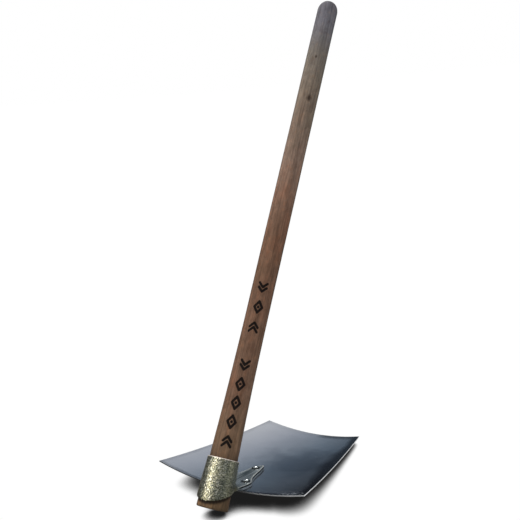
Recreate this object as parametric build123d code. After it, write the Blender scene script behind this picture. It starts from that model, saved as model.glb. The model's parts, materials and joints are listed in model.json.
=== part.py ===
from build123d import *
import math
import os

os.makedirs("parts", exist_ok=True)

# Draw hoe: a hardwood handle that passes down through the conical eye of a
# forged socket, and a concave sheet-steel blade riveted under the socket's
# tongue. Millimetres, +Z up, with the hoe standing in its working stance: the
# handle's foot and the middle of the cutting edge both touch the ground.
# The origin is the centre of the handle's foot face.
#
# Everything is modelled first in the handle's own frame (z up the handle, x
# towards the cutting edge, left is +y) and then tipped into the stance by one
# rotation about y.

# ---- handle dimensions ------------------------------------------------------
handle_length = 941.0      # foot face to the top of the rounded grip end
grip_r = 19.0
flare_start = 304.0        # below this height the handle swells to its foot
foot_r = 25.2
foot_break = 1.2           # broken edge round the foot face
flare_points = 14

# ---- eye dimensions ---------------------------------------------------------
eye_clear = 0.12           # radial clearance between the eye and the handle
eye_top = 76.0             # height of the upper rim
eye_bottom = -8.0          # bottom of the cone before the slanted cut
eye_r_top = 25.4           # outer radius at the upper rim
eye_r_mid = 27.1           # outer radius about half way down
eye_r_low = 28.2           # outer radius near the lower rim
# Outer wall of the eye: radius, height
eye_wall = [
    (eye_r_low + 0.7, eye_bottom), (eye_r_low, 12.0), (eye_r_mid + 0.35, 30.0),
    (eye_r_mid - 0.05, 46.0), (eye_r_top + 0.45, 64.0), (eye_r_top, eye_top),
]
rim_round = 0.9            # rounding of the upper rim
rim_z = 24.5               # slanted lower rim: z = rim_z + rim_slope * x
rim_slope = 0.52

bore_bottom = -14.0
bore_bottom_extra = 0.45   # how much wider the bore's bottom is than at the foot
bore_pitch = 12.0          # spacing of the bore's stations from z = 0 upwards
bore_stations = 8

# ---- blade dimensions -------------------------------------------------------
blade_angle = math.radians(25.7)   # from the plane square to the handle
eye_edge_x = 20.5          # corner line of the blade's eye edge
eye_edge_z = 50.6
blade_w_eye = 280.0        # width at the eye edge
blade_w_cut = 195.0        # width at the cutting edge
blade_len = 281.0          # eye edge to cutting edge along the blade
dish_eye = 17.4            # sideways dish of the sheet at the eye edge
dish_cut = 11.1            # sideways dish at the cutting edge
dish_len = 5.0             # lengthwise dish
bow_eye = 1.7              # slight bow of the eye edge
bow_cut = 1.6              # slight bow of the cutting edge
sheet_t = 2.0              # blade sheet thickness

bevel_len = 9.0            # ground bevel under the cutting edge
edge_t = 0.6               # thickness left at the cutting edge
bevel_end = 1.02           # end of the bevel cutter, as a share of blade_len
bevel_half_span = 1.1      # its half width, as a share of the blade's
bevel_shift = 0.0001       # small shift towards the eye, as a share of blade_len
bevel_cut_depth = 6.0

# ---- tongue and web dimensions ----------------------------------------------
tongue_t = 4.5
seat_gap = 0.02            # seating gap between the tongue and the blade
# Outline of the hand-forged tongue: distance along the blade from the eye edge,
# then sideways place. It runs out along the left edge (+y) to the tip, which
# leans a little to the right, and comes back along the right edge.
tongue_outline = [
    (-9.0, 20.5), (0.0, 23.6), (11.5, 25.9), (22.0, 27.4), (29.0, 26.9),
    (36.0, 23.4), (45.0, 18.0), (56.0, 14.8), (70.0, 12.3), (84.0, 10.6),
    (91.0, 8.9), (97.0, 5.2), (101.5, 1.6),
    (104.3, -1.6),
    (102.6, -3.6), (97.0, -5.4), (84.0, -8.6), (70.0, -11.0), (56.0, -14.2),
    (45.0, -18.0), (36.0, -23.4), (29.0, -26.9), (22.0, -27.4), (11.5, -25.9),
    (0.0, -23.6), (-9.0, -20.5),
]
# Sheet the tongue is cut from
seat_start = -16.0         # along the blade from the eye edge
seat_end = 118.0
seat_half_span = 0.27      # share of the blade's half width
outline_depth = 40.0       # outline prism below the eye edge's corner line
outline_height = 60.0      # whole height of the outline prism

web_r = 9.0                # fillet size straight ahead (+x)
web_r_side = 1.5           # size it would fade to at a right angle to +x
web_half_angle = 60.0      # the web spans this far each side of +x, degrees
web_steps = 14
web_arc_steps = 6
web_tail = 2.0             # overrun of the fillet's ends along wall and tongue
web_bury = 0.5             # how far those ends dip into the metal
web_hollow = 0.12          # fillet curve set back towards the corner
web_wall_rise = 10.0       # height over which the wall's slope is taken
web_tongue_run = 6.0       # radial distance over which the tongue's slope is taken
web_sink = Vector(-0.53, 0, -0.85) * 16.0   # thickens the web into eye and tongue
web_height = 34.0          # limit of the web above the tongue's seat

# ---- rivet dimensions -------------------------------------------------------
# Name: distance along the blade from the eye edge, sideways place
root_along, root_side = 30.0, 16.5
rivet_places = {
    "rivet_tip": (88.0, 3.6),
    "rivet_root_left": (root_along, root_side),
    "rivet_root_right": (root_along, -root_side),
}
rivet_head_r = 6.4
rivet_head_h = 3.2
rivet_shank_r = 3.0
rivet_tail_r = 4.6
rivet_tail_h = 1.6
rivet_clear = 0.05         # radial clearance round the shank
rivet_gap = 0.06           # gap under the head and over the tail
rivet_hole_len = 40.0

# ---- blade surface ----------------------------------------------------------
eye_edge = Vector(eye_edge_x, 0, eye_edge_z)
blade_dir = Vector(math.cos(blade_angle), 0, math.sin(blade_angle))
blade_up = Vector(-math.sin(blade_angle), 0, math.cos(blade_angle))
sideways = Vector(0, 1, 0)


def blade_width(s):
    return blade_w_eye + (blade_w_cut - blade_w_eye) * s


def blade_point(s, t, offset=0.0):
    """Point on the blade's upper face: s runs from the eye edge (0) to the
    cutting edge (1), t runs across from -1 to 1."""
    dish = dish_eye + (dish_cut - dish_eye) * s
    height = dish * (t * t - 1.0) - 4.0 * dish_len * s * (1.0 - s) + offset
    along = blade_len * s - bow_eye * (1 - t * t) * (1 - s) + bow_cut * (1 - t * t) * s
    return (eye_edge + blade_dir * along + sideways * (t * blade_width(s) / 2.0)
            + blade_up * height)


def on_blade(along, side, offset=0.0):
    """Point on the blade's upper face from lengths along and across it."""
    s = along / blade_len
    return blade_point(s, 2.0 * side / blade_width(s), offset)


def fit_face(rows, tol):
    return Face.make_surface_from_array_of_points(rows, tol=tol, min_deg=3, max_deg=5)


def blade_face(s_start, s_end, half_span, s_count, t_count, offset_at=lambda s: 0.0, tol=0.001):
    """Face that follows the blade, set off from it by offset_at(s)."""
    rows = []
    for i in range(s_count):
        s = s_start + (s_end - s_start) * i / (s_count - 1)
        spans = [half_span * (2 * j / (t_count - 1) - 1) for j in range(t_count)]
        rows.append([blade_point(s, t, offset_at(s)) for t in spans])
    return fit_face(rows, tol)


# ---- handle -----------------------------------------------------------------
def handle_r(z):
    if z >= flare_start:
        return grip_r
    return grip_r + (foot_r - grip_r) * ((flare_start - z) / flare_start) ** 2


def make_handle():
    heights = [foot_break + (flare_start - foot_break) * i / (flare_points - 1)
               for i in range(flare_points)]
    flare = [(handle_r(z), z) for z in heights]
    (r0, z0), (r1, z1) = flare[:2]
    break_start = (r0 - foot_break, 0)
    dome_start = (grip_r, handle_length - grip_r)
    top = (0, handle_length)
    with BuildPart() as handle:
        with BuildSketch(Plane.XZ):
            with BuildLine():
                Line((0, 0), break_start)
                Line(break_start, flare[0])
                Spline(flare, tangents=[(r1 - r0, z1 - z0), (0, 1)])
                Line(flare[-1], dome_start)
                RadiusArc(dome_start, top, -grip_r)
                Line(top, (0, 0))
            make_face()
        revolve(axis=Axis.Z)
    return handle.part


# ---- eye socket: conical eye, tongue and web, one forging -------------------
def turned(wall):
    """Solid of revolution about z inside a splined wall of (radius, height)."""
    bottom, top = wall[0], wall[-1]
    with BuildPart() as body:
        with BuildSketch(Plane.XZ):
            with BuildLine():
                Spline(wall)
                Line(top, (0, top[1]))
                Line((0, top[1]), (0, bottom[1]))
                Line((0, bottom[1]), bottom)
            make_face()
        revolve(axis=Axis.Z)
    return body.part


def make_eye():
    eye = turned(eye_wall)
    rims = [e for e in eye.edges()
            if e.geom_type == GeomType.CIRCLE and abs(e.radius - eye_r_top) < 0.2]
    eye = eye.fillet(rim_round, [max(rims, key=lambda e: e.center().Z)])
    # slanted lower rim
    slant = math.atan(rim_slope)
    rim_plane = Plane(origin=(0, 0, rim_z), z_dir=(-math.sin(slant), 0, math.cos(slant)))
    below_rim = Box(220, 220, 120, align=(Align.CENTER, Align.CENTER, Align.MAX))
    return eye - rim_plane.location * below_rim


def make_outline_prism():
    points = [eye_edge + blade_dir * along + sideways * side for along, side in tongue_outline]
    outline = Face(Wire([Edge.make_spline(points), Edge.make_line(points[-1], points[0])]))
    prism = Solid.extrude(outline, blade_up * outline_height)
    return prism.moved(Location(blade_up * -outline_depth))


def eye_wall_r(z):
    """Outer radius of the eye at a height, straight between stations."""
    for (r0, z0), (r1, z1) in zip(eye_wall, eye_wall[1:]):
        if z <= z1:
            return r0 + (r1 - r0) * (z - z0) / (z1 - z0)
    return eye_wall[-1][0]


def tongue_top_z(x, y):
    """Height of the tongue's upper face over (x, y), found by iteration."""
    along = (x - eye_edge_x) / blade_dir.X
    for _ in range(20):
        point = on_blade(along, y, tongue_t + seat_gap)
        along += (x - point.X) / blade_dir.X
    return point.Z


def web_row(angle):
    """Fillet curve from wall to tongue in the half plane at an angle about z.
    Within that plane the vectors hold (radius, height)."""
    cos_a, sin_a = math.cos(angle), math.sin(angle)
    z = 40.0   # first guess of where wall and tongue meet
    for _ in range(10):
        wall_r = eye_wall_r(z)
        z = tongue_top_z(wall_r * cos_a, wall_r * sin_a)
    corner = Vector(wall_r, z)
    outer_r = wall_r + web_tongue_run
    outer_z = tongue_top_z(outer_r * cos_a, outer_r * sin_a)
    up_wall = Vector(eye_wall_r(z + web_wall_rise) - wall_r, web_wall_rise).normalized()
    down_tongue = Vector(web_tongue_run, outer_z - z).normalized()

    half_angle = 0.5 * math.acos(up_wall.dot(down_tongue))
    size = web_r_side + (web_r - web_r_side) * cos_a ** 2
    setback = size / math.tan(half_angle)
    hollow = (up_wall + down_tongue).normalized() * web_hollow
    start = corner + up_wall * setback
    end = corner + down_tongue * setback

    path = [start + up_wall * web_tail - Vector(web_bury, 0)]
    for k in range(web_arc_steps + 1):
        q = k / web_arc_steps
        path.append(start * (1 - q) ** 2 + corner * (2 * q * (1 - q)) + end * q ** 2 - hollow)
    path.append(end + down_tongue * web_tail - Vector(0, web_bury))
    return [Vector(p.X * cos_a, p.X * sin_a, p.Y) for p in path]


def make_web(seat, prism):
    rows = [web_row(math.radians(web_half_angle * (2 * i / web_steps - 1)))
            for i in range(web_steps + 1)]
    web = Part() + Solid.extrude(fit_face(rows, tol=0.01), web_sink)
    web = web & (Part() + Solid.extrude(seat, blade_up * web_height))
    return web & prism


def make_bore():
    """Bore that follows the flared handle, running past both rims."""
    wall = [(handle_r(0) + eye_clear + bore_bottom_extra, bore_bottom)]
    for i in range(bore_stations):
        z = i * bore_pitch
        wall.append((handle_r(z) + eye_clear, z))
    return turned(wall)


def make_socket():
    seat = blade_face(seat_start / blade_len, seat_end / blade_len, seat_half_span, 9, 9,
                      offset_at=lambda s: seat_gap)
    prism = make_outline_prism()
    tongue = (Part() + Solid.extrude(seat, blade_up * tongue_t)) & prism
    socket = make_eye() + tongue
    socket = socket + make_web(seat, prism)
    socket = socket - make_bore()
    return cut_rivet_holes(socket)


# ---- blade ------------------------------------------------------------------
def make_blade():
    blade = Part() + Solid.extrude(blade_face(0, 1, 1, 13, 17), blade_up * -sheet_t)
    # ground bevel under the cutting edge
    bevel_start = 1 - bevel_len / blade_len

    def bevel_offset(s):
        return -sheet_t + (sheet_t - edge_t) * (s - bevel_start) / (1 - bevel_start)

    bevel = blade_face(bevel_start - bevel_shift, bevel_end - bevel_shift, bevel_half_span,
                       7, 17, offset_at=bevel_offset, tol=0.005)
    blade = blade - Solid.extrude(bevel, blade_up * -bevel_cut_depth)
    return cut_rivet_holes(blade)


# ---- rivets -----------------------------------------------------------------
def rivet_location(along, side):
    """Place on the blade's upper face with z square to the dished sheet."""
    step = 0.5
    lengthwise = on_blade(along + step, side) - on_blade(along - step, side)
    across = on_blade(along, side + step) - on_blade(along, side - step)
    normal = lengthwise.cross(across).normalized()
    return Plane(origin=on_blade(along, side), x_dir=blade_dir, z_dir=normal).location


def cut_rivet_holes(shape):
    for place in rivet_places.values():
        hole = Cylinder(rivet_shank_r + rivet_clear, rivet_hole_len)
        shape = shape - rivet_location(*place) * hole
    return shape


def make_rivet(along, side):
    head_z = tongue_t + seat_gap + rivet_gap
    tail_z = -sheet_t - rivet_gap
    head_top = (0, head_z + rivet_head_h)
    tail_bottom = (0, tail_z - rivet_tail_h)
    dome_r = (rivet_head_r ** 2 + rivet_head_h ** 2) / (2 * rivet_head_h)
    # Rounded side of the hammered tail: radius, height
    tail = [
        (rivet_tail_r * 0.55, tail_z - rivet_tail_h),
        (rivet_tail_r * 0.9, tail_z - rivet_tail_h * 0.62),
        (rivet_tail_r, tail_z),
    ]
    with BuildPart() as rivet:
        with BuildSketch(Plane.XZ):
            with BuildLine():
                Line(tail_bottom, tail[0])
                Spline(tail)
                Line(tail[-1], (rivet_shank_r, tail_z))
                Line((rivet_shank_r, tail_z), (rivet_shank_r, head_z))
                Line((rivet_shank_r, head_z), (rivet_head_r, head_z))
                RadiusArc((rivet_head_r, head_z), head_top, -dome_r)
                Line(head_top, tail_bottom)
            make_face()
        revolve(axis=Axis.Z)
    return rivet_location(along, side) * rivet.part


# ---- tip into the working stance and write ----------------------------------
edge_low = blade_point(1.0, 0.0, -edge_t)
foot_face_r = foot_r - foot_break
stance = Rot(0, math.degrees(math.atan2(edge_low.Z, edge_low.X - foot_face_r)), 0)

parts = {"handle": make_handle(), "eye_socket": make_socket(), "blade": make_blade()}
for name, place in rivet_places.items():
    parts[name] = make_rivet(*place)
for name, shape in parts.items():
    export_step(stance * shape, "parts/" + name + ".step")
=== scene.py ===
# A hoe: a turned hardwood handle with burnt marks, a hammered eye socket round its flared
# foot, and a broad dished sheet blade held to the socket's tongue by three rivets.
#
# Shapes are worked out in the handle's own frame, in millimetres: z runs up the handle from
# the foot, x points towards the cutting edge, y lies across the blade. They are then leaned
# about y into the row frame (metres), which is the scene's frame.
import json
import math

import bmesh
import bpy
import numpy as np
from mathutils import Matrix, Vector, noise


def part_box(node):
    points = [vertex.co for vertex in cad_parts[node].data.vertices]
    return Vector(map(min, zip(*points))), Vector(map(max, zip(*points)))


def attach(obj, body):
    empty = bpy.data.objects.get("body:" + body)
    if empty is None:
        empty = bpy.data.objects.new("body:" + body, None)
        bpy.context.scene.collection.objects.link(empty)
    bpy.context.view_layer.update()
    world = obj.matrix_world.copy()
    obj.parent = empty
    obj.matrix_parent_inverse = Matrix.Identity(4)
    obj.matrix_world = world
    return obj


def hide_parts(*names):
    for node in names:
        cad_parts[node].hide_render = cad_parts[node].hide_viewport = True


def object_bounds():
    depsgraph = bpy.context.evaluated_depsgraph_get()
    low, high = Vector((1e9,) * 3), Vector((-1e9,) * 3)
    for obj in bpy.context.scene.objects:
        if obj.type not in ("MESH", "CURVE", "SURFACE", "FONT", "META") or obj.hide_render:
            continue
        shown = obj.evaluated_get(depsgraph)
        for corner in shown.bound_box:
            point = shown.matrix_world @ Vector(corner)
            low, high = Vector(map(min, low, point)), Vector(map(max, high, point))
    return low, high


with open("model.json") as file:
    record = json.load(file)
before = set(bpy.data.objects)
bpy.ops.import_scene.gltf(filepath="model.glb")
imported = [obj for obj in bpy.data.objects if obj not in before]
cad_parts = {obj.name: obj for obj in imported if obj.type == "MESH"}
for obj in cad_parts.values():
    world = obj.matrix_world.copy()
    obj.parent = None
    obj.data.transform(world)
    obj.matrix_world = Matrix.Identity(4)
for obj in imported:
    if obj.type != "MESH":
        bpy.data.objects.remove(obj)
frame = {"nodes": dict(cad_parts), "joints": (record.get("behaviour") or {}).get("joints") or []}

cad_lo, cad_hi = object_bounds()

# ---------------------------------------------------------------- frames
handle_axis = frame["joints"][0]["axis"]
LEAN = math.atan2(handle_axis[0], handle_axis[2])
LEAN_COS, LEAN_SIN = math.cos(LEAN), math.sin(LEAN)


def to_row(points):
    """Handle frame (mm) to row frame (m)."""
    p = np.asarray(points, float).reshape(-1, 3) * 0.001
    return np.column_stack([p[:, 0] * LEAN_COS + p[:, 2] * LEAN_SIN, p[:, 1],
                            -p[:, 0] * LEAN_SIN + p[:, 2] * LEAN_COS])


def unlean(vectors):
    """Turns row-frame vectors into the handle frame, keeping their unit."""
    v = vectors
    return np.column_stack([v[:, 0] * LEAN_COS - v[:, 2] * LEAN_SIN, v[:, 1],
                            v[:, 0] * LEAN_SIN + v[:, 2] * LEAN_COS])


def row_direction(vector):
    return Vector(to_row(vector)[0]).normalized()


# ---------------------------------------------------------------- driving sizes (mm)
HANDLE_LEN = 941.0
GRIP_R = 19.0
FLARE_LEN = 304.0                     # the handle widens below this height
FOOT_R = 25.2
FOOT_BREAK = 1.2                      # broken edge round the foot
MARKED_SIDE = math.radians(210.8)     # angle round the handle of the burnt marks

# Burnt marks: kind, height of the centre
MARKS = [("down", 355.0), ("lozenge", 321.0), ("up", 287.0), ("down", 223.0),
         ("lozenge", 192.0), ("lozenge", 162.0), ("lozenge", 132.0), ("up", 102.0)]
# Knots: angle round the handle, height, radius
KNOTS = [(MARKED_SIDE + 0.22, 720.0, 2.3), (MARKED_SIDE - 0.04, 806.9, 1.1),
         (MARKED_SIDE + 2.3, 560.0, 4.2), (MARKED_SIDE - 2.0, 842.0, 2.6),
         (MARKED_SIDE + 1.5, 430.0, 3.4)]
KNOT_SQUASH = 0.62                    # knots are drawn out along the grain by 1 / this

BLADE_RISE = math.radians(25.7)
BLADE_DIR = np.array([math.cos(BLADE_RISE), 0.0, math.sin(BLADE_RISE)])
BLADE_UP = np.array([-math.sin(BLADE_RISE), 0.0, math.cos(BLADE_RISE)])
BLADE_START = np.array([20.5, 0.0, 50.6])
BLADE_LEN = 281.0
EYE_WIDTH, CUT_WIDTH = 280.0, 195.0   # at the eye edge and at the cutting edge
EYE_DISH, CUT_DISH = 17.4, 11.1       # sag of the middle below the long sides, at each end
LONG_SAG = 5.0                        # sag between the two ends
EYE_BOW, CUT_BOW = 1.7, 1.6           # bow of each end
SHEET = 2.0
BEVEL, EDGE_THICK = 9.0, 0.6

# Rivets: object, CAD piece, place along and across the blade, seed
RIVETS = (("rivet_head_tip", "rivet_tip", 88.0, 3.6, 3),
          ("rivet_head_left", "rivet_root_left", 30.0, 16.5, 4),
          ("rivet_head_right", "rivet_root_right", 30.0, -16.5, 7))


def handle_radius(z):
    k = np.clip((FLARE_LEN - np.asarray(z, float)) / FLARE_LEN, 0, None)
    return GRIP_R + (FOOT_R - GRIP_R) * k * k


def blade_width(s):
    return EYE_WIDTH + (CUT_WIDTH - EYE_WIDTH) * s


def blade_point(s, t, lift=0.0):
    """Point of the upper face: s 0 to 1 from eye to cutting edge, t -1 to 1 across."""
    s, t, lift = np.broadcast_arrays(*(np.asarray(v, float) for v in (s, t, lift)))
    up = ((EYE_DISH + (CUT_DISH - EYE_DISH) * s) * (t * t - 1)
          - 4 * LONG_SAG * s * (1 - s) + lift)
    along = BLADE_LEN * s - EYE_BOW * (1 - t * t) * (1 - s) + CUT_BOW * (1 - t * t) * s
    return np.stack([BLADE_START[0] + BLADE_DIR[0] * along + BLADE_UP[0] * up,
                     t * blade_width(s) / 2,
                     BLADE_START[2] + BLADE_DIR[2] * along + BLADE_UP[2] * up], -1)


def on_blade(along, across):
    s = along / BLADE_LEN
    return blade_point(s, 2 * across / blade_width(s))


def blade_normal(along, across):
    lengthwise = on_blade(along + 0.5, across) - on_blade(along - 0.5, across)
    crosswise = on_blade(along, across + 0.5) - on_blade(along, across - 0.5)
    normal = np.cross(lengthwise, crosswise)
    normal /= np.linalg.norm(normal)
    return normal if normal @ BLADE_UP > 0 else -normal


# ---------------------------------------------------------------- geometry helpers
def clip01(value):
    return np.clip(value, 0, 1)


def smooth_noise(seed, u_cells, v_cells, u, v):
    """Value noise, 0 to 1, on a lattice that repeats both ways."""
    grid = np.random.RandomState(seed).rand(u_cells, v_cells)
    u, v = np.asarray(u, float), np.asarray(v, float)
    i, j = np.floor(u).astype(int), np.floor(v).astype(int)
    a, b = u - i, v - j
    a, b = a * a * (3 - 2 * a), b * b * (3 - 2 * b)
    i0, i1, j0, j1 = i % u_cells, (i + 1) % u_cells, j % v_cells, (j + 1) % v_cells
    return ((grid[i0, j0] * (1 - a) + grid[i1, j0] * a) * (1 - b)
            + (grid[i0, j1] * (1 - a) + grid[i1, j1] * a) * b)


def noise_round(seed, cells_round, cells_up, angle, v):
    """Smooth noise that closes on itself round the handle."""
    return smooth_noise(seed, cells_round, cells_up, angle / (2 * math.pi) * cells_round, v)


def angle_gap(angle, centre):
    return np.angle(np.exp(1j * (angle - centre)))


def path_distance(x, y, path):
    """Distance from points to an open line of straight pieces."""
    best = np.full(np.shape(x), 1e9)
    for (x0, y0), (x1, y1) in zip(path[:-1], path[1:]):
        dx, dy = x1 - x0, y1 - y0
        q = clip01(((x - x0) * dx + (y - y0) * dy) / (dx * dx + dy * dy))
        best = np.minimum(best, np.hypot(x - x0 - q * dx, y - y0 - q * dy))
    return best


def grid_faces(rows, columns, wrap, base=0, flip=False):
    faces = []
    for r in range(rows - 1):
        for c in range(columns if wrap else columns - 1):
            here, there = base + r * columns, base + (r + 1) * columns
            c1 = (c + 1) % columns
            quad = (here + c, here + c1, there + c1, there + c)
            faces.append(quad[::-1] if flip else quad)
    return faces


def make_mesh(name, points, faces):
    """A smooth object with every face turned outward."""
    mesh = bpy.data.meshes.new(name)
    mesh.from_pydata(to_row(points).tolist(), [], faces)
    mesh.validate()
    mesh.update()
    mesh.polygons.foreach_set("use_smooth", [True] * len(mesh.polygons))
    obj = bpy.data.objects.new(name, mesh)
    bpy.context.scene.collection.objects.link(obj)
    bm = bmesh.new()
    bm.from_mesh(mesh)
    bmesh.ops.recalc_face_normals(bm, faces=bm.faces)
    bm.to_mesh(mesh)
    bm.free()
    mesh.update()
    return obj


def add_attribute(mesh, name, values):
    """A float per vertex; vertices beyond the given values get 0."""
    full = np.zeros(len(mesh.vertices), np.float32)
    full[:len(values)] = values
    mesh.attributes.new(name, "FLOAT", "POINT").data.foreach_set("value", full)


# ---------------------------------------------------------------- shader helpers
def srgb(code):
    """Linear RGBA from a hex colour."""
    out = []
    for i in (1, 3, 5):
        c = int(code[i:i + 2], 16) / 255
        out.append(c / 12.92 if c <= 0.04045 else ((c + 0.055) / 1.055) ** 2.4)
    return (*out, 1.0)


class Nodes:
    """Shorthand for a shader node tree. Arguments are sockets or plain values; colours
    may be hex strings or linear RGB triples."""

    def __init__(self, tree):
        self.tree = tree
        tree.nodes.clear()

    def node(self, kind, **properties):
        made = self.tree.nodes.new(kind)
        for name, value in properties.items():
            setattr(made, name, value)
        return made

    def put(self, socket, value):
        if isinstance(value, bpy.types.NodeSocket):
            self.tree.links.new(value, socket)
            return
        if isinstance(value, str):
            value = srgb(value)
        elif isinstance(value, tuple):
            value = (*value, 1.0)
        socket.default_value = value

    def math(self, operation, first, second=0.0, clamp=False):
        made = self.node("ShaderNodeMath", operation=operation, use_clamp=clamp)
        self.put(made.inputs[0], first)
        self.put(made.inputs[1], second)
        return made.outputs[0]

    def times(self, first, *others):
        for other in others:
            first = self.math("MULTIPLY", first, other)
        return first

    def plus(self, first, *others):
        for other in others:
            first = self.math("ADD", first, other)
        return first

    def minus(self, first, second, clamp=False):
        return self.math("SUBTRACT", first, second, clamp)

    def mix(self, amount, base, top, mode="MIX"):
        made = self.node("ShaderNodeMix", data_type="RGBA", blend_type=mode)
        for index, value in ((0, amount), (6, base), (7, top)):
            self.put(made.inputs[index], value)
        return made.outputs[2]

    def tint(self, base, factor):
        """The base colour times a number or an RGB triple."""
        factor = factor if isinstance(factor, tuple) else (factor,) * 3
        return self.mix(1.0, base, factor, "MULTIPLY")

    def remap(self, value, over, to=(0.0, 1.0)):
        """Runs linearly through `to` as the value crosses `over`, and holds outside."""
        made = self.node("ShaderNodeMapRange", clamp=True)
        self.put(made.inputs[0], value)
        for i, number in enumerate((*over, *to)):
            made.inputs[i + 1].default_value = number
        return made.outputs[0]

    def patch(self, base, field, over, strength, top):
        """Lays `top` on `base` where the field crosses `over`."""
        return self.mix(self.times(self.remap(field, over), strength), base, top)

    def ramp(self, value, stops):
        """Colour ramp; stops are (position, hex colour)."""
        made = self.node("ShaderNodeValToRGB")
        made.color_ramp.interpolation = "LINEAR"
        elements = made.color_ramp.elements
        while len(elements) > 1:
            elements.remove(elements[-1])
        elements[0].position, elements[0].color = stops[0][0], srgb(stops[0][1])
        for position, code in stops[1:]:
            elements.new(position).color = srgb(code)
        self.put(made.inputs[0], value)
        return made.outputs[0]


class Material(Nodes):
    def __init__(self, name):
        self.material = bpy.data.materials.new(name)
        self.material.use_nodes = True
        super().__init__(self.material.node_tree)
        self.output = self.node("ShaderNodeOutputMaterial")

    def finish(self, **inputs):
        """Ends in a Principled shader; underscores stand for spaces in input names."""
        shader = self.node("ShaderNodeBsdfPrincipled")
        self.put(self.output.inputs[0], shader.outputs[0])
        for name, value in inputs.items():
            self.put(shader.inputs[name.replace("_", " ")], value)
        return self.material

    def coords(self):
        """Handle-frame coordinates in millimetres."""
        rotate = self.node("ShaderNodeVectorRotate", rotation_type="Y_AXIS")
        rotate.inputs["Angle"].default_value = -LEAN
        self.put(rotate.inputs["Vector"], self.node("ShaderNodeTexCoord").outputs["Object"])
        scale = self.node("ShaderNodeVectorMath", operation="SCALE")
        scale.inputs["Scale"].default_value = 1000.0
        self.put(scale.inputs[0], rotate.outputs[0])
        return scale.outputs[0]

    def attribute(self, name):
        return self.node("ShaderNodeAttribute", attribute_name=name).outputs["Fac"]

    def xyz(self, vector):
        split = self.node("ShaderNodeSeparateXYZ")
        self.put(split.inputs[0], vector)
        return split.outputs

    def vector(self, x, y, z):
        joined = self.node("ShaderNodeCombineXYZ")
        for i, value in enumerate((x, y, z)):
            self.put(joined.inputs[i], value)
        return joined.outputs[0]

    def noise(self, point, stretch=None, scale=1.0, detail=3.0, rough=0.5, warp=0.0):
        """Noise texture; `stretch` multiplies the coordinates first."""
        if stretch:
            multiply = self.node("ShaderNodeVectorMath", operation="MULTIPLY")
            self.put(multiply.inputs[0], point)
            multiply.inputs[1].default_value = stretch
            point = multiply.outputs[0]
        made = self.node("ShaderNodeTexNoise")
        self.put(made.inputs["Vector"], point)
        for name, value in (("Scale", scale), ("Detail", detail), ("Roughness", rough),
                            ("Distortion", warp)):
            made.inputs[name].default_value = value
        return made.outputs[0]

    def voronoi(self, point, scale, output):
        made = self.node("ShaderNodeTexVoronoi", feature="F1")
        self.put(made.inputs["Vector"], point)
        made.inputs["Scale"].default_value = scale
        return made.outputs[output]

    def bump(self, height, distance, strength, under=None):
        made = self.node("ShaderNodeBump")
        made.inputs["Strength"].default_value = strength
        made.inputs["Distance"].default_value = distance
        self.put(made.inputs["Height"], height)
        if under is not None:
            self.put(made.inputs["Normal"], under)
        return made.outputs[0]


# ---------------------------------------------------------------- handle
GROOVE_HALF, DOT_R, GROOVE_SOFT = 1.75, 1.9, 0.8
LOZENGE_W, LOZENGE_H = 6.6, 9.6       # half width and half height
# Paths of each mark: (across, up) from its centre
CHEVRONS = [[(-6.8, k - 3.2), (0, k + 4.2), (6.8, k - 3.2)] for k in (-4.6, 3.0)]
MARK_PATHS = {
    "up": CHEVRONS,
    "down": [[(x, -y) for x, y in path] for path in CHEVRONS],
    "lozenge": [[(0, LOZENGE_H), (LOZENGE_W, 0), (0, -LOZENGE_H), (-LOZENGE_W, 0),
                 (0, LOZENGE_H)]],
}


def mark_field(across, height):
    """Burnt ornament: 1 inside a groove, 0 outside."""
    field = np.zeros_like(across)

    def groove(inset):
        return np.maximum(field, clip01(inset / GROOVE_SOFT + 0.5))

    for kind, centre in MARKS:
        up = height - centre
        for path in MARK_PATHS[kind]:
            field = groove(GROOVE_HALF - path_distance(across, up, path))
        if kind == "lozenge":
            field = groove(DOT_R - np.hypot(across, up))
    return field


def handle_cut(angle, z, marks):
    """Depth cut into the turned surface."""
    grain = noise_round(11, 150, 64, angle, z / 34.0 + 0.3 * np.sin(angle * 3))
    cut = 0.10 * clip01((grain - 0.62) / 0.38)
    cut += 0.05 * noise_round(12, 216, 128, angle, z / 9.0)
    cut += 0.22 * noise_round(13, 9, 17, angle, z / 61.0)
    # long narrow checks
    rng = np.random.RandomState(5)
    for _ in range(34):
        centre, height = rng.rand() * 2 * math.pi, 20 + rng.rand() * 880
        length = 14 + rng.rand() * 60
        depth = 0.10 + 0.20 * rng.rand()
        width = 0.026 + 0.02 * rng.rand()
        sway = 0.02 * np.sin(z / 13.0 + centre)
        aside = angle_gap(angle, centre + sway) / width
        cut += depth * np.exp(-aside ** 2) * clip01(1 - ((z - height) / length) ** 2)
    # knots: a dip with a shallow ring round it
    for centre, height, radius in KNOTS:
        away = np.hypot(angle_gap(angle, centre) * GRIP_R, (z - height) * KNOT_SQUASH)
        cut += 0.28 * np.exp(-(away / radius) ** 2)
        cut += 0.10 * np.exp(-((away - 1.9 * radius) / (0.5 * radius)) ** 2)
    cut += 0.85 * marks
    # the part inside the eye is pressed smooth and stays clear of the bore
    in_eye = (z < 80) & (z > 6)
    return np.where(in_eye, np.maximum(cut * 0.5, 0.05), cut)


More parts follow.
